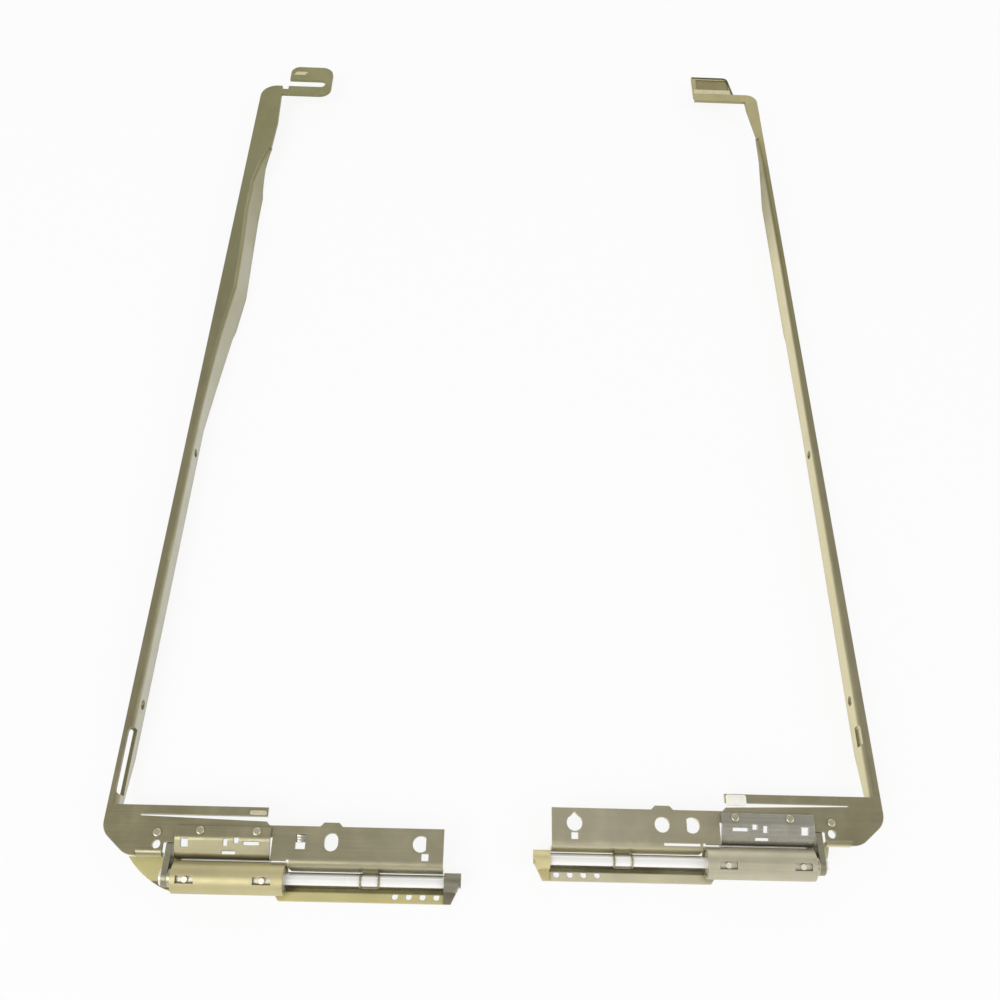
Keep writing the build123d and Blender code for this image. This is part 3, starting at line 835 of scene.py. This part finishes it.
@dataclass
class TabBoss:
    """Low embossed lozenge on the slotted tab, coloured pale as a painted highlight.

    Attributes:
        middle: Its middle, in the hinge's millimetres.
        length: Length across the tab.
        width: Width up the tab.
        height: How far it stands up.
        lean: How far its sides lean per millimetre of width.
    """

    middle: Point = (11.6, 231.8, 5.36)
    length: float = 3.6
    width: float = 1.5
    height: float = 0.16
    lean: float = 0.6

    def build(self, shop: Workshop, place: HingePlace) -> None:
        """Make the boss.

        Args:
            shop: The workshop.
            place: The hinge.
        """
        mesh = bmesh.new()
        base = Matrix.Translation(place.at(*self.middle))
        lean = Matrix(((1, self.lean, 0, 0), (0, 1, 0, 0), (0, 0, 1, 0), (0, 0, 0, 1)))
        size = Matrix.Diagonal((self.length * MM, self.width * MM, 1.0, 1.0))
        turned = Matrix.Rotation(math.pi / 4, 4, "Z")
        bmesh.ops.create_circle(mesh, cap_ends=True, segments=4, radius=math.sqrt(0.5),
                                matrix=base @ lean @ size @ turned)
        raised = bmesh.ops.extrude_face_region(mesh, geom=list(mesh.faces))["geom"]
        top = [part for part in raised if isinstance(part, bmesh.types.BMVert)]
        bmesh.ops.translate(mesh, verts=top, vec=(0, 0, self.height * MM))
        upper = [e for e in mesh.edges if all(v in top for v in e.verts)]
        bmesh.ops.bevel(mesh, geom=upper, offset=self.height / 3 * MM, segments=3, profile=0.5,
                        affect="EDGES", material=-1)
        # The pale tape finish on the steel boss is a painted highlight.
        shop.piece(f"{place.side.label}_tab_boss", mesh, shop.finishes.tape, BRACKETS, "bright_steel")


@dataclass
class TabPanel:
    """Dark bare panel in the plain tab's recess, the pale tape beside it and a dark strip along the tab's
    edge that paints its shade.

    Attributes:
        panel: Low and high corners of the panel, in the hinge's millimetres.
        tape: Low and high corners of the tape.
        rim: Outer line of the dark strip of painted shade along the tab's edge.
        rim_aim: Point that the strip's inner line is drawn towards.
        rim_width: Width of the strip.
        rim_heights: Its lower and upper level.
        rounding: Rounding of the panel and the tape.
        border: Width of the panel's flat border.
        sunk: How far the panel's middle lies below its rim.
    """

    panel: Corners = ((8.7, 227.2, 4.28), (19.2, 231.6, 4.5))
    tape: Corners = ((8.2, 224.1, 4.58), (20.2, 226.8, 4.7))
    rim: tuple[tuple[float, float], ...] = (
        (20.3, 232.95), (9.86, 232.95), (8.93, 232.6), (8.43, 231.75), (7.12, 224.1))
    rim_aim: tuple[float, float] = (14.0, 228.0)
    rim_width: float = 0.5
    rim_heights: tuple[float, float] = (4.55, 4.74)
    rounding: float = 0.08
    border: float = 0.32
    sunk: float = 0.08

    def _rim(self, place: HingePlace) -> bmesh.types.BMesh:
        """Make the dark strip along the tab's top and its slanted side, which paints the shade at the tab's
        edge.

        Args:
            place: The hinge.

        Returns:
            The edge.
        """
        mesh = bmesh.new()
        low, high = self.rim_heights
        line = [mesh.verts.new(place.at(x, y, low)) for x, y in self.rim]
        edges = [mesh.edges.new(pair) for pair in zip(line, line[1:])]
        middle = place.at(*self.rim_aim, low)
        inner = bmesh.ops.extrude_edge_only(mesh, edges=edges)["geom"]
        for vert in (part for part in inner if isinstance(part, bmesh.types.BMVert)):
            vert.co += (middle - vert.co).normalized() * self.rim_width * MM
        raised = bmesh.ops.extrude_face_region(mesh, geom=list(mesh.faces))["geom"]
        top = [part for part in raised if isinstance(part, bmesh.types.BMVert)]
        bmesh.ops.translate(mesh, verts=top, vec=(0, 0, (high - low) * MM))
        return mesh

    def _slab(self, place: HingePlace, corners: Corners) -> bmesh.types.BMesh:
        """Make a thin slab with rounded upper edges.

        Args:
            place: The hinge.
            corners: Its low and high corners.

        Returns:
            The slab.
        """
        mesh = bmesh.new()
        low, high = place.at(*corners[0]), place.at(*corners[1])
        size = Vector(tuple(abs(part) for part in high - low))
        centre = Matrix.Translation((low + high) / 2)
        bmesh.ops.create_cube(mesh, size=1.0, matrix=centre @ Matrix.Diagonal((*size, 1.0)))
        upper = [e for e in mesh.edges if min(v.co.z for v in e.verts) > (low.z + high.z) / 2]
        bmesh.ops.bevel(mesh, geom=upper, offset=self.rounding * MM, segments=3, profile=0.5,
                        affect="EDGES", material=-1)
        return mesh

    def build(self, shop: Workshop, place: HingePlace) -> None:
        """Make the panel, the tape and the dark strip of painted shade.

        Args:
            shop: The workshop.
            place: The hinge.
        """
        label = place.side.label
        mesh = self._slab(place, self.panel)
        mesh.normal_update()
        top = [max(mesh.faces, key=lambda f: f.calc_area() * f.normal.z)]
        bmesh.ops.inset_region(mesh, faces=top, thickness=self.border * MM, use_even_offset=True)
        bmesh.ops.inset_region(mesh, faces=top, thickness=self.rounding * MM, depth=-self.sunk * MM)
        shop.piece(f"{label}_tab_panel", mesh, shop.finishes.label, BRACKETS, "dark_steel")
        tape = self._slab(place, self.tape)
        shop.piece(f"{label}_tab_tape", tape, shop.finishes.tape, BRACKETS, "pale_pad")
        # A dark strip that paints the shade along the tab's edge.
        shop.piece(f"{label}_tab_rim", self._rim(place), shop.finishes.rim, BRACKETS, "dark_steel")


@dataclass
class HoleLouvre:
    """Ribbed tongue that half closes the plate's square hole.

    Attributes:
        middle: Middle of the hole, in the hinge's millimetres.
        width: Width of the tongue.
        edge: How far the tongue's root lies from the hole's middle.
        reach: How far down the hole it comes.
        ribs: Number of ribs.
        fill: Share of its pitch that a rib takes up.
        step: How much lower each rib lies than the one before.
        thick: Thickness of a rib.
        tilt: Tilt of a rib, in degrees.
        rounding: Rounding of its edges.
    """

    middle: Point = (40.3, -6.5, 5.0)
    width: float = 1.96
    edge: float = 1.44
    reach: float = 1.5
    ribs: int = 3
    fill: float = 0.96
    step: float = 0.12
    thick: float = 0.3
    tilt: float = 18.0
    rounding: float = 0.06

    def build(self, shop: Workshop, place: HingePlace) -> None:
        """Make the tongue.

        Args:
            shop: The workshop.
            place: The hinge.
        """
        mesh = bmesh.new()
        x, y, z = self.middle
        top = y + self.edge
        pitch = self.reach / self.ribs
        tilt = Matrix.Rotation(math.radians(self.tilt), 4, "X")
        size = Matrix.Diagonal((self.width * MM, self.fill * pitch * MM, self.thick * MM, 1.0))
        for index in range(self.ribs):
            centre = place.at(x, top - (index + 0.5) * pitch, z - self.step * index)
            rib = bmesh.ops.create_cube(mesh, size=1.0, matrix=Matrix.Translation(centre) @ tilt @ size)
            sharp = list({e for v in rib["verts"] for e in v.link_edges})
            bmesh.ops.bevel(mesh, geom=sharp, offset=self.rounding * MM, segments=2, profile=0.5,
                            affect="EDGES", material=-1)
        shop.piece(f"{place.side.label}_hole_louvre", mesh, shop.finishes.cradle, BRACKETS, "cradle_steel")


@dataclass
class RingEars:
    """Ears of the two split rings on the shaft, for the ring pliers.

    Attributes:
        starts: Where each ring begins along the hinge, in millimetres.
        thick: Thickness of a ring.
        ear: Radius of an ear.
        reach: Distance of an ear from the axis.
        spread: Angle of each ear from straight down, in degrees.
        rounding: Rounding of an ear's rims.
    """

    starts: tuple[float, float] = (52.7, 56.4)
    thick: float = 0.3
    ear: float = 0.36
    reach: float = 1.32
    spread: float = 34.0
    rounding: float = 0.06

    def build(self, shop: Workshop, place: HingePlace) -> None:
        """Make the ears of one hinge as one piece.

        Args:
            shop: The workshop.
            place: The hinge.
        """
        mesh = bmesh.new()
        for start in self.starts:
            for way in (-1, 1):
                angle = math.radians(way * self.spread)
                y = place.AXIS_Y + self.reach * math.sin(angle)
                z = place.AXIS_Z - self.reach * math.cos(angle)
                centre = Matrix.Translation(place.at(start + self.thick / 2, y, z))
                turned = centre @ Matrix.Rotation(math.pi / 2, 4, "Y")
                ear = bmesh.ops.create_cone(mesh, cap_ends=True, segments=18, radius1=self.ear * MM,
                                            radius2=self.ear * MM, depth=self.thick * MM, matrix=turned)
                bound = {e for v in ear["verts"] for e in v.link_edges}
                rims = [e for e in bound if any(len(f.verts) > 4 for f in e.link_faces)]
                bmesh.ops.bevel(mesh, geom=rims, offset=self.rounding * MM, segments=2, profile=0.5,
                                affect="EDGES", material=-1)
        shop.piece(f"{place.side.label}_ring_ears", mesh, shop.finishes.saddle, BRACKETS, "dark_steel")


@dataclass
class Studio:
    """Pale floor, soft lamps, world and camera.

    Attributes:
        camera_at: Camera, in metres.
        aim: Point on the floor that the camera looks at.
        roll: Turn of the camera about its line of sight, in degrees.
        focal_pixels: Focal length in pixels of a picture 1000 wide.
        floor_half: Half of the floor's width, in metres.
        floor_drop: How far the floor lies below the object, in metres.
        floor_glow: Share of the floor's look that no shadow darkens.
        room: Brightness of the room from the horizon, 0, to straight up, 1.
        lamps: Name, place in metres, width in metres and power in watts of each lamp.
    """

    camera_at: Point = (-0.0046, -0.14829, 0.20495)
    aim: Point = (-0.00088, -0.03327, 0.0)
    roll: float = 3.254
    focal_pixels: float = 932.8
    floor_half: float = 4.0
    floor_drop: float = 0.00005
    floor_glow: float = 0.88
    room: tuple[tuple[float, float], ...] = ((0.0, 0.95), (0.35, 0.72), (0.8, 0.46), (1.0, 0.42))
    lamps: tuple[tuple[str, Point, float, float], ...] = (
        ("key", (-0.55, -0.55, 0.75), 0.7, 4.2),
        ("fill", (0.75, -0.35, 0.6), 0.8, 2.0),
        ("back", (0.1, 0.95, 0.55), 0.9, 1.4))

    def camera(self) -> None:
        """Set the camera at the photograph's angle."""
        data = bpy.data.cameras.new("camera")
        data.sensor_width = 36.0
        data.lens = self.focal_pixels / 1000 * data.sensor_width
        data.clip_start = 0.005
        data.clip_end = 50.0
        camera = bpy.data.objects.new("camera", data)
        bpy.context.scene.collection.objects.link(camera)
        sight = Vector(self.aim) - Vector(self.camera_at)
        turn = sight.to_track_quat("-Z", "Y").to_matrix().to_4x4()
        camera.matrix_world = (
            Matrix.Translation(self.camera_at) @ turn @ Matrix.Rotation(math.radians(self.roll), 4, "Z"))
        bpy.context.scene.camera = camera

    def floor(self) -> None:
        """Lay the pale floor, which keeps the object's shadow."""
        mesh = bmesh.new()
        bmesh.ops.create_grid(mesh, x_segments=1, y_segments=1, size=self.floor_half,
                              matrix=Matrix.Translation((0, 0, -self.floor_drop)))
        data = bpy.data.meshes.new("floor")
        mesh.to_mesh(data)
        mesh.free()
        paper = bpy.data.materials.new("pale_paper")
        shader = Shader(paper)
        path = {name: shader.add("ShaderNodeLightPath", {}, {}, output=name)
                for name in ("Is Camera Ray", "Is Glossy Ray", "Is Transmission Ray")}
        seen = (path["Is Camera Ray"] + path["Is Glossy Ray"] + path["Is Transmission Ray"]).clamped()
        matt = shader.add("ShaderNodeBsdfDiffuse", {}, {"Color": (0.9, 0.9, 0.9)})
        glow = shader.add("ShaderNodeEmission", {}, {"Color": (1.0, 1.0, 1.0), "Strength": 1.0})
        both = shader.add("ShaderNodeMixShader", {}, {0: seen * self.floor_glow, 1: matt, 2: glow})
        shader.add("ShaderNodeOutputMaterial", {}, {"Surface": both})
        data.materials.append(paper)
        floor = bpy.data.objects.new("floor", data)
        bpy.context.scene.collection.objects.link(floor)

    def lamp(self, name: str, at: Point, size: float, power: float) -> None:
        """Hang one soft lamp that looks at the middle of the pair.

        Args:
            name: The lamp's name.
            at: Its place, in metres.
            size: Its width, in metres.
            power: Its power, in watts.
        """
        data = bpy.data.lights.new(name, "AREA")
        data.shape = "DISK"
        data.size = size
        data.energy = power
        lamp = bpy.data.objects.new(name, data)
        bpy.context.scene.collection.objects.link(lamp)
        sight = -Vector(at)
        lamp.matrix_world = Matrix.Translation(at) @ sight.to_track_quat("-Z", "Y").to_matrix().to_4x4()

    def world(self) -> None:
        """Give the room a dimmer ceiling over a bright horizon."""
        world = bpy.data.worlds.new("studio")
        bpy.context.scene.world = world
        shader = Shader(world)
        way = shader.add("ShaderNodeTexCoord", {}, {}, output="Generated")
        up = shader.add("ShaderNodeSeparateXYZ", {}, {"Vector": way}, output="Z")
        stops = [(height, (grey, grey, grey)) for height, grey in self.room]
        room = shader.add("ShaderNodeValToRGB", {"stops": stops}, {"Fac": up})
        seen = shader.add("ShaderNodeLightPath", {}, {}, output="Is Camera Ray")
        colour = shader.blend(seen, room, (1.0, 1.0, 1.0))
        sky = shader.add("ShaderNodeBackground", {}, {"Color": colour, "Strength": 1.0})
        shader.add("ShaderNodeOutputWorld", {}, {"Surface": sky})

    def build(self) -> None:
        """Set up the whole studio."""
        self.camera()
        self.floor()
        self.world()
        for lamp in self.lamps:
            self.lamp(*lamp)
        bpy.context.scene.view_settings.view_transform = "Standard"
        LOG.info("studio ready")


def main() -> None:
    """Dress the pair, add its details and set the studio."""
    logging.basicConfig(level=logging.INFO, format="%(name)s: %(message)s")
    finishes = Finishes()
    CadNodes().dress(finishes)
    shop = Workshop(finishes)
    for side in Side:
        place = HingePlace.of(side)
        for detail in (LipPad(), StampedRings(), StakeMarks(), RingEars()):
            detail.build(shop, place)
    left = HingePlace.of(Side.LEFT)
    TabBoss().build(shop, left)
    HoleLouvre().build(shop, left)
    TabPanel().build(shop, HingePlace.of(Side.RIGHT))
    Studio().build()
    LOG.info("%d pieces made", len(shop.made))


if __name__ == "__main__":
    main()
